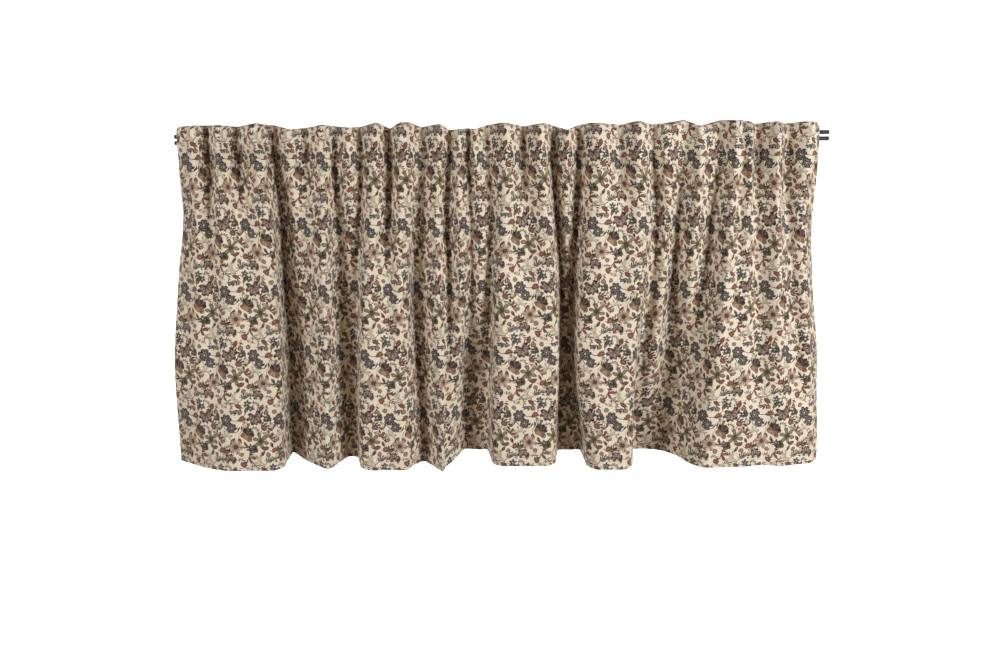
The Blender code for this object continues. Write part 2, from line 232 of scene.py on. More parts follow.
def plan_line(drop, base, sense, rounding):
    """Each fold stands its depth behind the base line, or with a sense of -1 its height before it, times a
    reach. The reach of each section is sought until the rounded line is as long as the flat cloth."""
    place = at_level(PLACE, drop)
    depth = at_level(DEPTH, drop)
    share = depth if sense > 0 else depth - 1
    numbers = np.arange(len(FOLDS))
    middles = (BOUNDS[:-1] + BOUNDS[1:]) / 2
    reach = np.full(len(FLAT_WIDTHS), FIRST_REACH)
    for _ in range(REACH_ROUNDS):
        corners = np.stack([place, np.interp(numbers, middles, reach) * share], axis=1)
        line, stops = rounded(corners, rounding)
        along = lengths_along(line)
        bounds = np.interp(lengths_along(corners)[BOUNDS], stops, along)
        hung = np.diff(np.interp(bounds, along, line[:, 0]))
        reach = reach * np.sqrt((FLAT_WIDTHS - hung) / (np.diff(bounds) - hung))
    spots = np.interp(SPOTS, numbers, lengths_along(corners))
    placed = read_off(line, stops, spots)
    placed[:, 1] += base - (placed[:, 1].min() if sense > 0 else placed[:, 1].max())
    return placed


print(f"{len(SPOTS)} points across the cloth at each level")

# %% [markdown]
# ## The hung cloth
# The rows of points run from the hem up the front, over the rods, and down behind to the edge of the
# turned-over cloth. Rows lie closer together where the hem and the pocket are sewn.

# %% Rows of the cloth
SEWN_HEM = 18 * MM  # from the hem's edge up to its stitching
SIDE_HEM = 11 * MM
ROW_STEP = 6.6 * MM
NEAR_STITCHES = np.array((-5.0, -2.4, -1.2, 0.0, 1.2, 2.4, 5.0)) * MM
HEM_EDGE_STEPS = np.array((0.0, 0.9, 2.6, 6.0)) * MM
BELOW_SEAM_STEPS = np.array((12.0, 7.5, 4.4, 2.2, 1.0, 0.0)) * MM
HEAD_DROPS = np.array((28.5, 27.0, 24.4, 21.0, 17.2, 13.5, 9.0, 4.5, 0.0)) * MM
ARCH_TURNS = np.linspace(0, np.pi, 15)[1:-1]
ARCH_POWER = 3.0  # 2 is a half ellipse; a higher power has squarer shoulders
ARCH_SLACK = 0.1 * MM
ARCH_RISE = 1.03  # how much the arch is raised at a time where it is too tight
ARCH_ROUNDS = 20


def skirt_drops():
    """Rows at even steps from the hem to the seam, with closer rows at the edge and beside the stitching."""
    stitching = HEM_DROP - SEWN_HEM - NEAR_STITCHES
    seam = SEAM_DROP + BELOW_SEAM_STEPS
    start = stitching[-1] - ROW_STEP
    even = np.linspace(start, seam[0], round((start - seam[0]) / ROW_STEP) + 1)
    return np.concatenate((HEM_DROP - HEM_EDGE_STEPS, stitching, even, seam[1:]))


def smooth_share(t):
    """A share from 0 to 1 that starts and ends level: 3t^2 - 2t^3."""
    t = np.clip(t, 0, 1)
    return t * t * (3 - 2 * t)


def behind(line, distance):
    """A plan line moved back square to itself."""
    along = np.gradient(line, axis=0)
    return line + distance * unit(np.stack([-along[:, 1], along[:, 0]], axis=1))


def at_height(line, z):
    """A plan line set at a height, which may change along it."""
    return np.column_stack([line, np.broadcast_to(z, len(line))])


def rod_arch(front, back, height):
    """The cloth over the rods is a squared half ellipse: the share across is the cosine of the turn and the
    share up its sine, each to the power 2 / ARCH_POWER. It is raised until it clears the rod."""
    middle, half = (front + back) / 2, (back - front) / 2
    across = -np.sign(np.cos(ARCH_TURNS)) * np.abs(np.cos(ARCH_TURNS)) ** (2 / ARCH_POWER)
    up = np.sin(ARCH_TURNS) ** (2 / ARCH_POWER)
    height = height.copy()
    rows = middle + across[:, None, None] * half
    for _ in range(ARCH_ROUNDS):
        z = up[:, None] * height
        tight = (np.hypot(rows[..., 1], z) < ROD_REACH + ARCH_SLACK).any(axis=0)
        height[tight] *= ARCH_RISE
    return [at_height(row, level) for row, level in zip(rows, z)]


SKIRT_DROPS = skirt_drops()


def hung_cloth():
    """The cloth's middle surface as rows of points."""
    rounding = ROUNDING_AT_LEVEL[0]
    front = plan_line(SEAM_DROP, -ROD_REACH, -1, rounding)
    back = plan_line(SEAM_DROP, ROD_REACH, 1, rounding)
    back[:, 0] = front[:, 0]
    skirt = [
        plan_line(drop, at_level(FRONT_AT_LEVEL, drop), 1, at_level(ROUNDING_AT_LEVEL, drop))
        for drop in SKIRT_DROPS
    ]
    lift = np.interp(skirt[0][:, 0], PLACE[-1], [fold.lift * MM for fold in FOLDS])
    top = np.interp(front[:, 0], PLACE[0], [fold.top * MM for fold in FOLDS])
    rows = [at_height(line, lift * (drop / HEM_DROP) ** 2 - drop) for line, drop in zip(skirt, SKIRT_DROPS)]
    seam_back = behind(skirt[-1], CLOTH_THICKNESS + CLOTH_GAP)
    shares = smooth_share((HEAD_DROPS - UNDER_ROD_DROP) / (SEAM_DROP - UNDER_ROD_DROP))
    rows += [at_height(front + s * (skirt[-1] - front), -d) for s, d in zip(shares, HEAD_DROPS)]
    rows += rod_arch(front, back, top - CLOTH_THICKNESS / 2)
    rows += [at_height(back + s * (seam_back - back), -d) for s, d in zip(shares[::-1], HEAD_DROPS[::-1])]
    return np.array(rows)


cloth = hung_cloth()
SEAM_ROW = len(SKIRT_DROPS) - 1
print("cloth grid:", cloth.shape[:2], "rows by points")

# %% [markdown]
# ## Where each point lies on the flat cloth
# The print and the weave belong to the cloth, so they follow its own two lengths: how far a point is from
# the left edge, and how far it is up from the hem. Both are kept in metres in the UV map.

# %% Flat places
across = np.stack([lengths_along(row) for row in cloth[: SEAM_ROW + 1, :, :2]])
across *= FLAT_WIDTH / across[:, -1:]
across = np.concatenate([across, np.repeat(across[-1:], len(cloth) - len(across), axis=0)])
up = lengths_along(cloth)
skirt_length = up[SEAM_ROW].mean()
up = np.where(
    np.arange(len(up))[:, None] <= SEAM_ROW,
    up * skirt_length / up[SEAM_ROW],
    up - up[SEAM_ROW] + skirt_length,
)

# %% [markdown]
# ## Sewing and creases
# Where cloth is sewn it draws in a little and puckers, and a hem is thicker than the cloth. Soft troughs
# and ridges come from handling and hanging. These are shapes, so they move the mesh.

# %% The table of creases
# at and to: mm across the flat cloth at the crease's upper and lower end; upper and lower: the drops where
# it starts and ends, in mm; width: mm; depth: mm, above 0 for a trough and below 0 for a ridge
Crease = namedtuple("Crease", "at to upper lower width depth")
CREASES = [Crease(*row) for row in (
    (22, 30, 120, 420, 9, 1.2), (64, 52, 40, 300, 7, 1.0),
    (112, 126, 60, 260, 8, 1.1), (150, 141, 180, 440, 9, -1.0),
    (176, 190, 34, 170, 6, 1.2), (330, 338, 36, 210, 6, 1.1),
    (420, 430, 50, 330, 8, 1.1), (452, 446, 36, 180, 6, 1.2),
    (470, 476, 200, 440, 9, 0.9), (560, 552, 40, 250, 7, 1.1),
    (600, 612, 150, 430, 9, -0.9), (742, 756, 36, 260, 8, 1.2),
    (790, 778, 60, 300, 9, 1.0), (812, 820, 210, 440, 10, 1.0),
    (965, 980, 36, 240, 8, 1.3), (1008, 1000, 90, 380, 9, 1.0),
    (1034, 1046, 40, 200, 6, 1.1), (1215, 1204, 60, 300, 8, 1.1),
    (1262, 1276, 40, 350, 9, 1.2), (1310, 1302, 150, 430, 9, -1.0),
)]
print(f"{len(CREASES)} creases")

# %% Relief
# The gathers' puckers: wave lengths across the flat cloth in mm, each with its depth in mm and its start
Pucker = namedtuple("Pucker", "length depth start")
PUCKERS = (Pucker(10.7, 0.30, 0.2), Pucker(17.3, 0.45, 1.9), Pucker(29.0, 0.40, 4.1))
PUCKER_REACH = 16 * MM  # how far above and below the seam the puckers fade out
STITCH_SINK = 0.35 * MM
STITCH_BAND = 1.3 * MM
HEM_EXTRA = 0.5 * MM  # how much thicker the hems are made than the cloth
HEM_BLEND = 2 * MM
FLAT_TOP = 8 * MM  # the drop above which there is no relief
RELIEF_RISE = 14 * MM  # and how far below it the relief is whole
drop = -cloth[..., 2]


def bell(distance, width):
    """A bell curve: 1 at no distance, falling to a third at the width."""
    return np.exp(-((distance / width) ** 2))


def creased():
    """The sum of the creases: each is a bell across its width, carried along a straight line on the flat
    cloth, and rises and falls along its length as half a sine."""
    total = np.zeros_like(across)
    for crease in CREASES:
        t = np.clip((drop / MM - crease.upper) / (crease.lower - crease.upper), 0, 1)
        line = (crease.at + (crease.to - crease.at) * t) * MM
        total += crease.depth * MM * bell(across - line, crease.width * MM) * np.sin(np.pi * t)
    return total


def puckered():
    """Sine waves across the cloth that fade as bells above and below the seam."""
    waves = sum(p.depth * np.sin(TAU * across / (p.length * MM) + p.start) for p in PUCKERS) * MM
    return waves * bell(drop - SEAM_DROP, PUCKER_REACH)


def sewn_lines():
    """How near each point is to a line of stitches, as a bell: the hem's, the side hems' and the seam's."""
    away = (up - SEWN_HEM, up - skirt_length, across - SIDE_HEM, FLAT_WIDTH - SIDE_HEM - across)
    return bell(np.min(np.abs(away), axis=0), STITCH_BAND)


def hem_layers():
    """A share of 1 where the cloth is turned over at its hems, falling softly to 0 at their stitches."""
    inside = np.min((up - SEWN_HEM, across - SIDE_HEM, FLAT_WIDTH - SIDE_HEM - across), axis=0)
    return smooth_share(0.5 - inside / HEM_BLEND)


def normals_of(points):
    """Unit normals of a grid of points: the cross product of its steps along the rows and up the columns."""
    return unit(np.cross(np.gradient(points, axis=1), np.gradient(points, axis=0)))


is_front = np.arange(len(cloth))[:, None] <= SEAM_ROW + len(HEAD_DROPS) - 1
relief = np.where(is_front, creased() + puckered(), 0) * smooth_share((drop - FLAT_TOP) / RELIEF_RISE)
moved = relief[..., None] * -normals_of(cloth)
first_back = len(cloth) - len(HEAD_DROPS)
front_head = np.arange(SEAM_ROW + 1, SEAM_ROW + 1 + len(HEAD_DROPS))[::-1]
moved[first_back:] = moved[front_head]
middle = cloth + moved
thickness = CLOTH_THICKNESS + HEM_EXTRA * hem_layers() - STITCH_SINK * sewn_lines()
print(f"relief from {relief.min() / MM:.1f} to {relief.max() / MM:.1f} mm")

# %% [markdown]
# ## From one surface to a sheet
# The sheet has a face, a reverse and a rounded edge. The face and the reverse are the middle surface moved
# half the thickness each way, and a third line round the edge rounds it. They are one closed mesh.

# %% Helpers for meshes
def numbers(points, closed=False):
    """The number of each point of a grid. In a closed grid each row runs on to its first point again."""
    number = np.arange(points.size // 3).reshape(points.shape[:-1])
    return np.concatenate([number, number[..., :1]], axis=-1) if closed else number


def squares(number):
    """The corners of each square between the points of a grid."""
    before, after = number[..., :-1, :], number[..., 1:, :]
    corners = (before[..., :-1], before[..., 1:], after[..., 1:], after[..., :-1])
    return np.stack(corners, axis=-1).reshape(-1, 4)


def edge_loop(number):
    """The numbers of the points round a grid, once, anticlockwise from its first point."""
    return np.concatenate([number[0, :-1], number[:-1, -1], number[-1, :0:-1], number[:0:-1, 0]])


def new_object(name, data):
    """An object in the scene, from its mesh, light or camera."""
    made = bpy.data.objects.new(name, data)
    bpy.context.scene.collection.objects.link(made)
    return made


def mesh_object(name, points, faces):
    """A smooth mesh object from an array of points and a list of faces, with its place in its mesh."""
    mesh = bpy.data.meshes.new(name)
    mesh.from_pydata(points.reshape(-1, 3), [], faces)
    mesh.update()
    mesh.shade_smooth()
    return new_object(name, mesh)


def paint_uv(made, name, places):
    """A UV map from one place for each point."""
    loops = np.empty(len(made.data.loops), np.int32)
    made.data.loops.foreach_get("vertex_index", loops)
    layer = made.data.uv_layers.new(name=name)
    layer.uv.foreach_set("vector", places[loops].astype(np.float32).ravel())

# %% The sheet's mesh
RIM_SHARE = 0.4  # how far the rim stands out, as a share of the thickness
normals = normals_of(middle)
face = middle + normals * thickness[..., None] / 2
reverse = middle - normals * thickness[..., None] / 2
number = numbers(middle)
loop = edge_loop(number)
flat_middle, flat_normals = middle.reshape(-1, 3), normals.reshape(-1, 3)
tangent = np.roll(flat_middle[loop], -1, axis=0) - np.roll(flat_middle[loop], 1, axis=0)
outward = unit(np.cross(tangent, flat_normals[loop]))
rim = flat_middle[loop] + outward * thickness.reshape(-1, 1)[loop] * RIM_SHARE
count = number.size
rim_loop = 2 * count + np.arange(len(loop))
next_loop, next_rim = np.roll(loop, -1), np.roll(rim_loop, -1)
face_side = np.stack([loop, rim_loop, next_rim, next_loop], axis=1)
reverse_side = np.stack([rim_loop, loop + count, next_loop + count, next_rim], axis=1)
face_squares = squares(number)
valance = mesh_object(
    "printed_cotton_valance",
    np.concatenate([face.reshape(-1, 3), reverse.reshape(-1, 3), rim]),
    np.concatenate([face_squares, face_squares[:, ::-1] + count, face_side, reverse_side]).tolist(),
)
flat_place = np.stack([across, up], axis=-1).reshape(-1, 2)
paint_uv(valance, "flat_cloth", np.concatenate([flat_place, flat_place, flat_place[loop]]))
print("valance:", 2 * len(valance.data.polygons), "triangles")

# %% [markdown]
# ## The rods
# Two slim steel rods, each a drawn bar with its ends turned off square and the sharp edge broken. A turned
# shape is its profile carried round the axis.

# %% Rods
EDGE_BREAK = 0.5 * MM
ROD_SIDES = 40
SHARP_ANGLE = np.radians(40)


def turned_rod(name, z):
    """The point at a profile's distance along X and its radius, for each turn round the axis at height z."""
    broken = np.linspace(np.pi / 2, 0, 5)
    along = EDGE_BREAK * (1 - np.sin(broken))
    along = np.append(along, ROD_LENGTH - along[::-1])
    radius = ROD_RADIUS - EDGE_BREAK * (1 - np.cos(broken))
    radius = np.append(radius, radius[::-1])
    turn = np.arange(ROD_SIDES) * TAU / ROD_SIDES
    ring = np.stack([np.zeros_like(turn), np.sin(turn), np.cos(turn)], axis=1)
    points = radius[:, None, None] * ring + along[:, None, None] * (1, 0, 0) + (0, 0, z)
    number = numbers(points)
    sides = squares(numbers(points, closed=True)).tolist()
    made = mesh_object(name, points, sides + [number[0, ::-1].tolist(), number[-1].tolist()])
    made.data.set_sharp_from_angle(angle=SHARP_ANGLE)
    return made


upper_rod = turned_rod("turned_upper_rod", 0.0)
lower_rod = turned_rod("turned_lower_rod", -ROD_PITCH)
print("rods:", [tuple(round(side / MM, 1) for side in rod.dimensions) for rod in (upper_rod, lower_rod)])

# %% [markdown]
# ## Sewing
# The rod pocket, the hem and the side hems are machine sewn. At this size a stitch is a short bead of
# thread, so each one is a small spindle with few faces, and all the stitches of a seam are one mesh.

# %% Stitches
STITCH_PITCH = 3.0 * MM
STITCH_LENGTH = 2.3 * MM
THREAD_RADIUS = 0.22 * MM
THREAD_SIDES = 6
# Shares along the stitch and of the radius
SPINDLE = ((0.0, 0.25), (0.15, 0.85), (0.5, 1.0), (0.85, 0.85), (1.0, 0.25))


def sewn(name, line, square, along):
    """Spindles along a line on the cloth. A point is the share along its stitch, plus the radius there times
    the cosine of a turn along the cloth's normal and the sine along the stitch's side."""
    starts = np.arange(STITCH_PITCH, along[-1] - STITCH_PITCH, STITCH_PITCH)
    first, last = read_off(line, along, starts), read_off(line, along, starts + STITCH_LENGTH)
    up_from = read_off(square, along, starts + STITCH_LENGTH / 2)
    side = unit(np.cross(last - first, up_from))
    turn = np.arange(THREAD_SIDES) * TAU / THREAD_SIDES
    share, radius = np.array(SPINDLE).T
    centre = first[:, None] + share[:, None] * (last - first)[:, None]
    ring = np.cos(turn)[:, None] * up_from[:, None, None] + np.sin(turn)[:, None] * side[:, None, None]
    points = centre[:, :, None] + radius[:, None, None] * THREAD_RADIUS * ring
    number = numbers(points)
    walls = squares(numbers(points, closed=True))[:, ::-1]
    ends = np.concatenate([number[:, 0], number[:, -1, ::-1]])
    print(f"{name}: {len(starts)} stitches")
    return mesh_object(name, points, walls.tolist() + ends.tolist())


def column_at(width):
    """The face's points and normals at a place across the cloth, one for each row of the skirt."""
    return [
        np.concatenate([read_off(grid[row], across[row], [width]) for row in range(SEAM_ROW + 1)])
        for grid in (face, normals)
    ]


HEM_ROW = int(np.argmin(np.abs(SKIRT_DROPS - (HEM_DROP - SEWN_HEM))))
stitches = [
    sewn("pocket_seam_stitches", face[SEAM_ROW], normals[SEAM_ROW], across[SEAM_ROW]),
    sewn("hem_stitches", face[HEM_ROW], normals[HEM_ROW], across[HEM_ROW]),
    sewn("left_hem_stitches", *column_at(SIDE_HEM), up[: SEAM_ROW + 1, 0]),
    sewn("right_hem_stitches", *column_at(FLAT_WIDTH - SIDE_HEM), up[: SEAM_ROW + 1, -1]),
]

# %% [markdown]
# ## Colours and nodes
# Colours are written as sRGB hex values, as one reads them off a colour card, and one function turns them to
# the linear light that nodes work in. One small function adds a node with its settings and links.

# %% Helpers for materials
def linear(colour):
    """An sRGB hex colour as linear red, green, blue and 1: a 2.4 power curve with a short straight foot."""
    value = np.array([int(colour[i : i + 2], 16) for i in (0, 2, 4)]) / 255
    value = np.where(value <= 0.04045, value / 12.92, ((value + 0.055) / 1.055) ** 2.4)
    return (*value.tolist(), 1.0)


def feed(tree, node, inputs):
    """Fill a node's sockets in order, or by name or number from a dict. Each input is a value, an output
    that feeds the socket, or a node whose first output does."""
    for socket, value in inputs.items() if isinstance(inputs, dict) else enumerate(inputs):
        source = value.outputs[0] if isinstance(value, bpy.types.Node) else value
        if isinstance(source, bpy.types.NodeSocket):
            tree.links.new(source, node.inputs[socket])
        else:
            node.inputs[socket].default_value = source


def add(tree, kind, inputs=(), **settings):
    """Add a node with its own settings, and feed its sockets."""
    node = tree.nodes.new("ShaderNode" + kind)
    for name, value in settings.items():
        setattr(node, name, value)
    feed(tree, node, inputs)
    return node


def new_material(name):
    """An empty material, with its nodes and its Principled shader."""
    material = bpy.data.materials.new(name)
    material.use_nodes = True
    return material, material.node_tree, material.node_tree.nodes["Principled BSDF"]


def set_stops(ramp, stops):
    """Give a colour ramp its stops: a share along it, a colour, and how solid the colour is."""
    elements = ramp.color_ramp.elements
    while len(elements) < len(stops):
        elements.new(0.5)
    for element, (place, colour, *solid) in zip(elements, stops):
        element.position = place
        element.color = (*linear(colour)[:3], solid[0] if solid else 1.0)


def set_outline(node, radii):
    """Give a float curve an outline's radii, at even steps round and joined by straight runs."""
    curve = node.mapping.curves[0]
    steps = len(radii) - 1
    curve.points[0].location = (0.0, radii[0])
    curve.points[1].location = (1.0, radii[-1])
    for number in range(1, steps):
        curve.points.new(number / steps, radii[number])
    for point in curve.points:
        point.handle_type = "VECTOR"
    node.mapping.update()

# %% [markdown]
# ## The print
# The cloth is printed all over with a small trailing floral: a chart of flowers, buds, leaves and vines that
# repeats, each row of repeats moved half a repeat along. The chart is a table of motifs, and each is drawn
# by a few nodes from its own centre: its outline is a distance for each turn.

# %% Colours and kinds of motif
GROUND = "ECE1CE"
CREAM, TAN, OCHRE, BROWN, DARK, INK = "E7DCC8", "BAA287", "937A5E", "6D5643", "38281C", "21170F"
NAVY, SLATE, DUSK, TEAL, MIST = "2F292D", "4C4549", "8A817E", "434A4E", "868C8A"
PLUM, MAUVE, LILAC = "4E3936", "765E57", "AB978C"
OLIVE, MOSS, SAGE = "5F5643", "857958", "B0A787"
RED, BRICK, ROSE, BLUSH = "6D3E37", "8C5D50", "B29887", "CDBAA7"

# petals: how many times the outline goes round; outline: radii at even steps over one petal; sides: colours
# across one petal; rings: colours from the centre to the edge, and how much they hide the sides; width: the
# motif's width for a length of 1; arc: the share of the full turn that is drawn, about the motif's tip;
# path: the radius of the stem that a spray's leaves stand on, where the outline is their reach to each side
# of it; slant: how far along its stem, in leaves, a leaf leans over one radius
Kind = namedtuple("Kind", "petals outline sides rings width arc path slant", defaults=((), 1, 1, 0, 0))


def mirrored(*half):
    """A petal's radii from its side to its middle, and back again."""
    return half + half[-2::-1]


def both_sides(*stops):
    """A petal's colours from its side to its middle, and back again."""
    return stops + tuple((1 - place, colour) for place, colour in stops[-2::-1])


LEAF = mirrored(1, 0.89, 0.93, 0.98, 1, 0.98, 0.93, 0.89, 1)
SLIM_PETAL = mirrored(0.1, 0.42, 0.72, 0.9, 1)
KINDS = {
    "blue head": Kind(
        7, mirrored(0.66, 0.84, 0.98, 0.92, 1),
        both_sides((0, INK), (0.1, NAVY), (0.24, SLATE), (0.36, DUSK), (0.46, SLATE), (0.5, INK)),
        ((0, CREAM), (0.12, CREAM), (0.17, INK), (0.3, NAVY), (0.36, DUSK), (0.42, LILAC, 0.8),
         (0.5, NAVY, 0.2), (0.6, NAVY, 0), (0.8, NAVY, 0.2), (0.9, INK)),
    ),
    "plum head": Kind(
        1, mirrored(0.2, 0.26, 0.46, 0.74, 0.86, 0.62, 0.9, 0.96, 0.66, 0.9, 1, 0.8, 1),
        both_sides((0, PLUM), (0.2, PLUM), (0.24, LILAC), (0.28, PLUM), (0.32, MAUVE), (0.36, LILAC),
                   (0.4, PLUM), (0.45, MAUVE), (0.5, LILAC)),
        ((0, DARK), (0.12, DARK, 0.8), (0.22, PLUM, 0), (0.5, MAUVE, 0.1), (0.6, BLUSH, 0.7),
         (0.68, PLUM, 0.4), (0.82, PLUM, 0.1), (0.9, INK)),
    ),
    "fan bud": Kind(
        1, mirrored(0.62, 0.66, 0.72, 0.78, 0.84, 0.76, 0.66, 0.84, 0.96, 0.86, 1, 0.86, 1),
        both_sides((0, OCHRE), (0.06, TAN), (0.12, OCHRE), (0.18, BRICK), (0.24, OCHRE), (0.28, BROWN),
                   (0.31, PLUM), (0.37, INK), (0.43, MAUVE), (0.5, NAVY)),
        ((0, DARK), (0.16, BROWN, 0.6), (0.3, BROWN, 0), (0.55, PLUM, 0), (0.66, INK, 0.4), (0.76, PLUM, 0),
         (0.86, PLUM, 0), (0.93, INK)),
    ),
    "olive star": Kind(
        6, mirrored(0.24, 0.52, 0.8, 0.94, 1),
        both_sides((0, DARK), (0.2, OLIVE), (0.36, MOSS), (0.44, SAGE), (0.5, DARK)),
        ((0, RED), (0.14, RED), (0.2, DARK), (0.34, OLIVE, 0.5), (0.6, OLIVE, 0), (0.84, OLIVE, 0.2),
         (0.94, DARK)),
    ),
    "taupe rose": Kind(
        6, mirrored(0.5, 0.84, 0.97, 1),
        both_sides((0, BROWN), (0.1, ROSE), (0.28, BLUSH), (0.4, ROSE), (0.5, BROWN)),
        ((0, RED), (0.19, RED), (0.23, DARK), (0.28, DARK), (0.36, MAUVE, 0.5), (0.55, ROSE, 0),
         (0.88, ROSE, 0), (0.94, BROWN)),
    ),
    "tulip": Kind(
        1, mirrored(0.62, 0.68, 0.78, 0.88, 0.95, 1, 0.7, 0.98, 0.7, 1),
        both_sides((0, RED), (0.25, BRICK), (0.38, RED), (0.5, BRICK)),
        ((0, RED), (0.15, ROSE), (0.34, BRICK, 0), (0.78, BRICK, 0), (0.92, DARK)),
    ),
    "blossom": Kind(
        5, mirrored(0.42, 0.84, 1),
        ((0, INK), (0.2, TEAL), (0.42, MIST), (0.58, SLATE), (0.8, TEAL), (1, INK)),
        ((0, CREAM), (0.16, CREAM), (0.26, INK), (0.42, SLATE, 0.5), (0.8, NAVY, 0.1), (0.92, NAVY)),
    ),
    "rosette": Kind(
        8, mirrored(0.9, 1),
        both_sides((0, BROWN), (0.5, TAN)),
        ((0, RED), (0.26, RED), (0.36, TAN), (0.58, ROSE, 0.6), (0.7, BROWN, 0.6), (0.86, DARK)),
    ),
    "red sprig": Kind(
        6, SLIM_PETAL,
        both_sides((0, DARK), (0.2, RED), (0.44, BRICK), (0.5, DARK)),
        ((0, DARK), (0.2, RED, 0), (0.86, RED, 0), (0.94, DARK)),
        arc=0.5,
    ),
    "green sprig": Kind(
        7, SLIM_PETAL,
        both_sides((0, OLIVE), (0.2, SAGE), (0.42, CREAM), (0.5, OLIVE)),
        ((0, OLIVE), (0.2, SAGE, 0), (0.82, SAGE, 0), (0.9, OLIVE)),
        arc=0.72,
    ),
    "red leaf": Kind(
        1, LEAF,
        both_sides((0, BRICK), (0.25, RED), (0.47, BRICK), (0.5, DARK)),
        ((0, BRICK, 0.4), (0.4, BRICK, 0), (0.8, RED, 0), (0.92, DARK)),
        width=0.55,
    ),
    "dark leaf": Kind(
        1, LEAF,
        ((0, MOSS), (0.25, OLIVE), (0.46, DARK), (0.5, SAGE), (0.54, DARK), (0.75, DARK), (1, MOSS)),
        ((0, DARK, 0.4), (0.4, DARK, 0), (0.78, DARK, 0), (0.9, DARK)),
        width=0.42,
    ),
    "pale leaf": Kind(
        1, LEAF,
        both_sides((0, OLIVE), (0.02, OLIVE), (0.05, SAGE), (0.25, CREAM), (0.45, SAGE), (0.48, OLIVE),
                   (0.5, OLIVE)),
        ((0, SAGE, 0.3), (0.5, SAGE, 0), (0.78, SAGE, 0), (0.86, OLIVE)),
        width=0.44,
    ),
    "blue leaf": Kind(
        1, LEAF,
        ((0, MIST), (0.25, TEAL), (0.47, MIST), (0.5, INK), (0.53, MIST), (0.75, SLATE), (1, MIST)),
        ((0, SLATE, 0.4), (0.4, SLATE, 0), (0.78, NAVY, 0), (0.9, NAVY)),
        width=0.38,
    ),
    "vine": Kind(
        12, (0.024, 0.024, 0.1, 0.22, 0.32, 0.34, 0.26, 0.14, 0.024, 0.024, 0.024),
        ((0, "4A3D30"),), arc=0.5, path=0.8, slant=1.5,
    ),
    "stem": Kind(1, (0.032, 0.032), ((0, "4F3F32"),), arc=0.5, path=0.96),
    "beads": Kind(24, mirrored(0, 0, 0.05, 0.075), ((0, DARK),), arc=0.4, path=0.9),
}
print(f"{len(KINDS)} kinds of motif:", ", ".join(KINDS))

# %% The chart of the print
REPEAT_WIDTH = 72.0  # mm
REPEAT_HEIGHT = 86.5

# x and y: the centre in mm from the repeat's lower left; size: mm from the centre to the tip; turn: the
# tip's direction in degrees; copies: how many times it comes across and up one repeat. In the chart each
# kind is followed by its motifs.
Motif = namedtuple("Motif", "kind x y size turn copies", defaults=((1, 1),))
MOTIFS = [Motif(kind, *row) for kind, *rows in (
    ("stem", (24, 66, 14, 210), (52, 60, 13, 40), (30, 20, 15, 130), (10, 38, 13, 320, (1, 2)),
     (60, 20, 14, 230)),
    ("vine", (31, 65, 10, 330), (65, 57, 10, 30), (20, 26, 10, 200, (2, 1)), (48, 36, 9, 270),
     (26, 86, 9, 300, (2, 1)), (4, 12, 8, 80), (53, 53, 7, 45, (1, 2)), (16, 1, 7, 45, (2, 1))),
    ("beads", (36, 66, 8, 60, (1, 2)), (22, 4, 9, 150, (2, 2))),
    ("dark leaf", (42, 84, 6.0, 60, (1, 2)), (1, 73, 5.8, 110, (1, 2)), (53, 27, 5.8, 20, (2, 2)),
     (6, 60, 6.2, 225, (2, 1)), (26, 14, 5.4, 75), (65, 24, 4.6, 240), (5, 36, 4.4, 300, (2, 1))),
    ("pale leaf", (40, 62, 6, 110, (2, 1)), (12, 20, 6, 60), (70, 50, 6.5, 150), (46, 2, 5, 160)),
    ("blue leaf", (25, 81, 5.8, 20), (3, 14, 5.8, 200)),
    ("red leaf", (62, 86, 5.6, 70), (69, 31, 5.0, 200), (33, 41, 4.6, 100), (66, 2, 5.2, 150)),
    ("rosette", (33, 80, 3.3, 0, (2, 1)), (36, 22, 3.2, 0, (2, 1)), (7, 81, 3.2, 0, (1, 2)),
     (11, 42, 3.4, 0, (2, 1))),
    ("blue head", (14, 70, 8.6, 10), (22, 59, 7.2, 40)),
    ("plum head", (53, 74, 12.5, 285), (20, 16, 8.5, 100)),
    ("olive star", (62, 41, 11.5, 12)),
    ("taupe rose", (28, 33, 10.5, 20)),
    ("fan bud", (43, 49, 10.5, 60)),
    ("red sprig", (3, 44, 10, 40), (45, 18, 10, 330)),
    ("green sprig", (15, 47, 9, 110), (62, 13, 9, 200)),
    ("tulip", (36, 71, 4.8, 100), (66, 59, 4.8, 60), (9, 28, 4.8, 120), (38, 8, 4.8, 40)),
    ("blossom", (69, 72, 5.2, 0), (48, 32, 4.8, 30), (6, 5, 5.2, 10), (47, 85, 5.2, 50)),
) for row in rows]

SHEAR = REPEAT_WIDTH / (2 * REPEAT_HEIGHT)
print(f"{len(MOTIFS)} motifs in a repeat of {REPEAT_WIDTH} by {REPEAT_HEIGHT} mm")

# %% [markdown]
# ## Motifs as nodes
# Wrapping a place by the repeat's size, each way from a motif's centre, finds the nearest copy of the motif.
# The brick layout is a shear: before wrapping, a place moves sideways by half a repeat for each repeat up,
# and afterwards it moves back. Each kind of motif is one node group, so a motif is a single node that holds
# its centre and its two directions.

# %% One group for each kind of motif
VECTOR_IN, COLOUR_IN = "NodeSocketVector", "NodeSocketColor"


def new_group(name, inputs):
    """An empty group with named inputs and one colour output."""
    tree = bpy.data.node_groups.new(name, "ShaderNodeTree")
    for title, kind in inputs.items():
        tree.interface.new_socket(title, in_out="INPUT", socket_type=kind)
    tree.interface.new_socket("Colour", in_out="OUTPUT", socket_type=COLOUR_IN)
    return tree, tree.nodes.new("NodeGroupInput").outputs


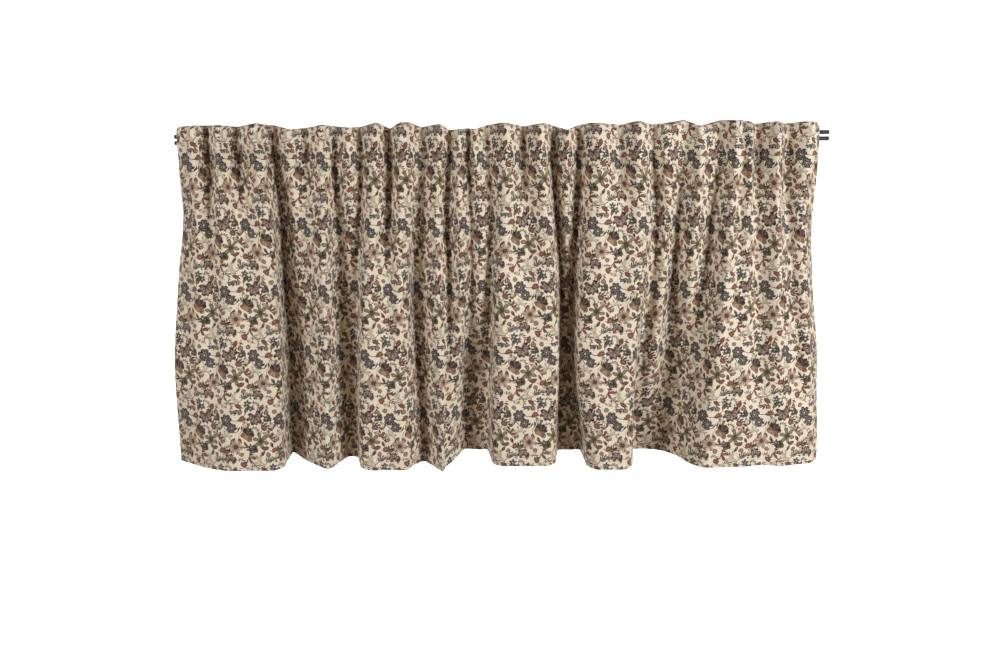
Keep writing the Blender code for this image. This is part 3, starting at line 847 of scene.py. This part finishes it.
def kind_group(name, kind):
    """A place's distance from the motif's centre is set against the outline's radius at its turn: that gives
    its ring, 0 at the centre and 1 at the edge. The sides' colours go round with the turn, and the rings'
    lie over them. On a spray the distance is from its stem, which is an arc of the path's radius."""
    vectors = dict.fromkeys(("Place", "Centre", "Most", "Least", "Along", "Aside"), VECTOR_IN)
    tree, given = new_group(name.replace(" ", "_"), {"Below": COLOUR_IN, **vectors})
    away = add(tree, "VectorMath", (given["Place"], given["Centre"]), operation="SUBTRACT")
    near = add(tree, "VectorMath", (away, given["Most"], given["Least"]), operation="WRAP")
    x, y = (
        add(tree, "VectorMath", (near, given[row]), operation="DOT_PRODUCT").outputs["Value"]
        for row in ("Along", "Aside")
    )
    place = add(tree, "CombineXYZ", (x, y))
    distance = add(tree, "VectorMath", (place,), operation="LENGTH").outputs["Value"]
    angle = add(tree, "Math", (y, x), operation="ARCTAN2")
    turn = add(tree, "Math", (angle, kind.petals / TAU, kind.petals / 2), operation="MULTIPLY_ADD")
    if kind.path:
        turn = add(tree, "Math", (distance, kind.slant, turn), operation="MULTIPLY_ADD")
        beside = add(tree, "Math", (distance, kind.path), operation="SUBTRACT")
        distance = add(tree, "Math", (beside,), operation="ABSOLUTE")
    if kind.petals > 1:
        turn = add(tree, "Math", (turn,), operation="FRACT")
    outline = add(tree, "FloatCurve", {"Value": turn})
    set_outline(outline, kind.outline)
    inside = add(tree, "Math", (distance, outline), operation="LESS_THAN")
    if kind.arc < 1:
        drawn = add(tree, "Math", (angle, 0, kind.arc * TAU / 2), operation="COMPARE")
        inside = add(tree, "Math", (inside, drawn), operation="MULTIPLY")
    colour = linear(kind.sides[0][1])
    if kind.rings:
        ring = add(tree, "Math", (distance, outline), operation="DIVIDE")
        sides = add(tree, "ValToRGB", (turn,))
        rings = add(tree, "ValToRGB", (ring,))
        set_stops(sides, kind.sides)
        set_stops(rings, kind.rings)
        layers = {0: rings.outputs["Alpha"], 6: sides, 7: rings}
        colour = add(tree, "Mix", layers, data_type="RGBA").outputs[2]
    layers = {0: inside, 6: given["Below"], 7: colour}
    drawn_over = add(tree, "Mix", layers, data_type="RGBA").outputs[2]
    feed(tree, tree.nodes.new("NodeGroupOutput"), (drawn_over,))
    return tree


kind_groups = {name: kind_group(name, kind) for name, kind in KINDS.items()}
print("nodes in each kind:", {name: len(group.nodes) for name, group in kind_groups.items()})

# %% [markdown]
# The groups are chained in the chart's order, so each motif lies over those before it, as colours do that
# are printed one after another. The first in the chain lies on the cloth's ground colour.

# %% The print as one group
def print_group():
    """A group from a place on the flat cloth in mm to the print's colour there. A motif's directions undo
    the shear, turn by its own turn, and divide by its size."""
    tree, given = new_group("trailing_floral_print", {"Place": VECTOR_IN})
    shift = add(tree, "VectorMath", (given[0], (0, -SHEAR, 0)), operation="DOT_PRODUCT").outputs["Value"]
    sideways = add(tree, "CombineXYZ", (shift,))
    sheared = add(tree, "VectorMath", (given[0], sideways), operation="ADD")
    colour = linear(GROUND)
    for motif in MOTIFS:
        cosine, sine = np.cos(np.radians(motif.turn)), np.sin(np.radians(motif.turn))
        along = np.array((cosine, SHEAR * cosine + sine, 0)) / motif.size
        aside = np.array((-sine, cosine - SHEAR * sine, 0)) / (motif.size * KINDS[motif.kind].width)
        most = (REPEAT_WIDTH / 2 / motif.copies[0], REPEAT_HEIGHT / 2 / motif.copies[1], 1)
        least = [-side for side in most]
        centre = (motif.x - SHEAR * motif.y, motif.y, 0)
        inputs = (colour, sheared, centre, most, least, along.tolist(), aside.tolist())
        colour = add(tree, "Group", inputs, node_tree=kind_groups[motif.kind])
    feed(tree, tree.nodes.new("NodeGroupOutput"), (colour,))
    return tree


floral = print_group()
print("print:", len(floral.nodes), "nodes and groups")

# %% [markdown]
# ## Printed cotton
# A plain-weave cotton of about 160 g/m2: matt, with a soft bloom where light grazes it. Its yarns lie about
# 0.45 mm apart, too fine to show, so the weave is drawn at 0.9 mm. Yarns spun a little unevenly leave faint
# streaks both ways. Ink sinks in, so the reverse shows the print as a pale ghost.

# %% The cotton's materials
WEAVE_PITCH = 0.9  # mm, twice the real spacing, so that it shows in a close view
SLUB_SIZES = ((0.9, 0.03), (0.03, 0.9))  # per mm across and up: long streaks up the cloth, and across it
SLUB_SHADES = (0.94, 1.04)  # how dark and how light a streak makes the cloth
REGISTER_WOBBLE = 0.9  # mm that the chart strays by
GHOST_SHARE = 0.22  # of the print's colour, on the reverse


def cotton(name, print_share):
    """Printed cotton. The print's share is 1 on the face and small on the reverse."""
    material, tree, shader = new_material(name)
    flat = add(tree, "UVMap", uv_map="flat_cloth")
    place = add(tree, "VectorMath", {0: flat, "Scale": 1 / MM}, operation="SCALE")
    noise = {"Vector": place, "Scale": 0.16, "Detail": 0.0}
    noise = add(tree, "TexNoise", noise, noise_dimensions="2D").outputs["Color"]
    stray = add(tree, "VectorMath", (noise, (0.5, 0.5, 0.5)), operation="SUBTRACT")
    stray = add(tree, "VectorMath", {0: stray, "Scale": 2 * REGISTER_WOBBLE}, operation="SCALE")
    strayed = add(tree, "VectorMath", (place, stray), operation="ADD")
    printed = add(tree, "Group", (strayed,), node_tree=floral)
    mixed = {0: print_share, 6: linear(GROUND), 7: printed}
    colour = add(tree, "Mix", mixed, data_type="RGBA").outputs[2]
    slubs = []
    for sizes in SLUB_SIZES:
        stretched = add(tree, "VectorMath", (place, (*sizes, 1)), operation="MULTIPLY")
        noise = {"Vector": stretched, "Scale": 1.0, "Detail": 1.0}
        slubs.append(add(tree, "TexNoise", noise, noise_dimensions="2D"))
    slub = add(tree, "Math", slubs, operation="ADD")
    shade = add(tree, "MapRange", (slub, 0.75, 1.25, *SLUB_SHADES))
    shades = add(tree, "CombineXYZ", (shade, shade, shade))
    tinted = add(tree, "VectorMath", (colour, shades), operation="MULTIPLY")
    yarns = add(tree, "VectorMath", {0: place, "Scale": TAU / WEAVE_PITCH}, operation="SCALE")
    yarns = add(tree, "VectorMath", (yarns,), operation="SINE")
    split = add(tree, "SeparateXYZ", (yarns,)).outputs
    weave = add(tree, "Math", (split[0], split[1]), operation="MULTIPLY")
    height = add(tree, "Math", (slub, 1.5, weave), operation="MULTIPLY_ADD")
    bump = add(tree, "Bump", {"Height": height, "Strength": 0.25, "Distance": 0.12 * MM})
    matt = {"Roughness": 0.88, "IOR": 1.45, "Specular IOR Level": 0.25}
    bloom = {"Sheen Weight": 0.12, "Sheen Roughness": 0.5}
    feed(tree, shader, {"Base Color": tinted, "Normal": bump, **matt, **bloom})
    print(f"{name}: {len(tree.nodes)} nodes round the print")
    return material


valance.data.materials.append(cotton("printed_plain_weave_cotton", 1.0))
valance.data.materials.append(cotton("reverse_of_printed_cotton", GHOST_SHARE))
on_reverse = np.zeros(len(valance.data.polygons), np.int32)
on_reverse[len(face_squares) : 2 * len(face_squares)] = 1
on_reverse[-len(loop) :] = 1
valance.data.polygons.foreach_set("material_index", on_reverse)

# %% [markdown]
# ## Thread and lacquer
# The sewing thread is spun polyester in the ground's colour, a little shinier than the cloth. The rods are
# steel dipped in a dark bronze lacquer: satin, a little uneven where it ran along the rod.

# %% Thread and rod materials
def thread_material():
    """Spun thread: its twist shows as fine slanted bands."""
    material, tree, shader = new_material("spun_polyester_thread")
    place = add(tree, "TexCoord").outputs["Object"]
    twist = {"Vector": place, "Scale": 1 / (6 * MM), "Distortion": 0.5}
    twist = add(tree, "TexWave", twist, bands_direction="DIAGONAL").outputs["Fac"]
    ramp = add(tree, "ValToRGB", (twist,))
    set_stops(ramp, ((0, "A8957A"), (1, "D6C6A8")))
    feed(tree, shader, {"Base Color": ramp, "Roughness": 0.55})
    return material


def lacquer_material():
    """Satin lacquer over steel: long faint runs along the rod in its colour and in its gloss."""
    material, tree, shader = new_material("bronze_lacquer_on_drawn_steel")
    place = add(tree, "TexCoord").outputs["Object"]
    stretched = add(tree, "VectorMath", (place, (30, 400, 400)), operation="MULTIPLY")
    runs = add(tree, "TexNoise", {"Vector": stretched, "Scale": 1.0, "Detail": 3.0})
    ramp = add(tree, "ValToRGB", (runs,))
    set_stops(ramp, ((0.3, "1C130D"), (0.55, "2A1D14"), (0.8, "3F2E21")))
    gloss = add(tree, "MapRange", (runs, 0.3, 0.7, 0.42, 0.56))
    bump = add(tree, "Bump", {"Height": runs, "Strength": 0.15, "Distance": 0.1 * MM})
    feed(tree, shader, {"Base Color": ramp, "Roughness": gloss, "Normal": bump})
    feed(tree, shader, {"Metallic": 0.2, "Specular IOR Level": 0.3})
    return material


thread = thread_material()
lacquer = lacquer_material()
for rod in (upper_rod, lower_rod):
    rod.data.materials.append(lacquer)
for seam in stitches:
    seam.data.materials.append(thread)
print("materials:", [material.name for material in bpy.data.materials if material.users])

# %% [markdown]
# ## Studio
# A pale round sweep goes from a flat floor up to a wall, so no edge shows from any side. It glows a little,
# as an evenly lit paper does, but sends no light to the cloth, whose deep folds stay dark. A panel of light
# stands on each side in front, and one behind lights the reverse.

# %% Sweep and light
SWEEP_FLOOR = -1.1
SWEEP_RADIUS = 3.2
SWEEP_HEIGHT = 3.0
SWEEP_SIDES = 64
SWEEP_POWER = 3  # of the distance past the flat floor, for the wall's height
FLOOR_SHARE = 0.6  # of the sweep's radius
MIDDLE_X = ROD_LENGTH / 2


def pale_sweep():
    """A turned surface: a flat floor, then a wall that rises as a power of the distance from the middle."""
    share = np.append(np.linspace(0, FLOOR_SHARE, 7), np.linspace(FLOOR_SHARE + 0.05, 1, 15))
    past = np.clip((share - FLOOR_SHARE) / (1 - FLOOR_SHARE), 0, 1)
    height = SWEEP_FLOOR + SWEEP_HEIGHT * past**SWEEP_POWER
    turn = np.arange(SWEEP_SIDES + 1) * TAU / SWEEP_SIDES
    radius = SWEEP_RADIUS * share[:, None]
    points = np.stack([MIDDLE_X + radius * np.cos(turn), radius * np.sin(turn),
                       np.broadcast_to(height[:, None], (len(share), len(turn)))], axis=-1)
    made = mesh_object("pale_sweep", points, squares(numbers(points))[:, ::-1].tolist())
    material, tree, shader = new_material("matt_white_paper")
    feed(tree, shader, {"Base Color": linear("F4F4F2"), "Roughness": 1.0})
    feed(tree, shader, {"Emission Color": (1, 1, 1, 1), "Emission Strength": 1.0})
    made.data.materials.append(material)
    made.visible_diffuse = made.visible_shadow = False


LOOK_AT = Vector((0.4283, -0.036, -0.2606))


def soft_light(name, place, size, power):
    """A square light panel that looks at the cloth's middle."""
    light = bpy.data.lights.new(name, "AREA")
    light.size, light.energy = size, power
    made = new_object(name, light)
    made.location = place
    made.rotation_euler = (LOOK_AT - Vector(place)).to_track_quat("-Z", "Y").to_euler()


pale_sweep()
world = bpy.data.worlds.new("studio")
bpy.context.scene.world = world
world.use_nodes = True
feed(world.node_tree, world.node_tree.nodes["Background"], {"Color": linear("FFD3A2"), "Strength": 0.14})
bpy.context.scene.view_settings.view_transform = "Standard"
soft_light("right_softbox", (2.0, -1.45, 0.35), 0.7, 37)
soft_light("left_softbox", (-1.3, -1.6, 0.35), 0.7, 24)
soft_light("back_softbox", (0.4, 2.2, 0.6), 1.2, 36)
print("lights:", [light.name for light in bpy.data.lights if light.users])

# %% [markdown]
# The camera stands in front of the valance, looks a little down on it, and is turned by less than half a
# degree about its line of sight. Its focal length is given in pixels and turned to millimetres.

# %% Camera
DISTANCE = 1.311
TILT = np.radians(9)
ROLL = np.radians(-0.42)
PICTURE_WIDTH = 1000
FOCAL_PIXELS = 988
camera = bpy.data.cameras.new("camera")
camera.lens = FOCAL_PIXELS / PICTURE_WIDTH * camera.sensor_width
camera_object = new_object("camera", camera)
camera_object.location = LOOK_AT + DISTANCE * Vector((0, -np.cos(TILT), np.sin(TILT)))
turn = Matrix.Rotation(np.pi / 2 - TILT, 4, "X") @ Matrix.Rotation(ROLL, 4, "Z")
camera_object.rotation_euler = turn.to_euler()
bpy.context.scene.camera = camera_object
print(f"camera: a {camera.lens:.0f} mm lens at {DISTANCE} m")

# %% [markdown]
# ## Riding on the frame
# Every piece rides on the frame's one body. The new cloth and rods stand for the imported solids, which stay
# for collision, hidden.

# %% Ride and replace
for piece in (valance, upper_rod, lower_rod, *stitches):
    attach(piece, "root")
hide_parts("window_valance")
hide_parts("upper_rod")
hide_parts("lower_rod")
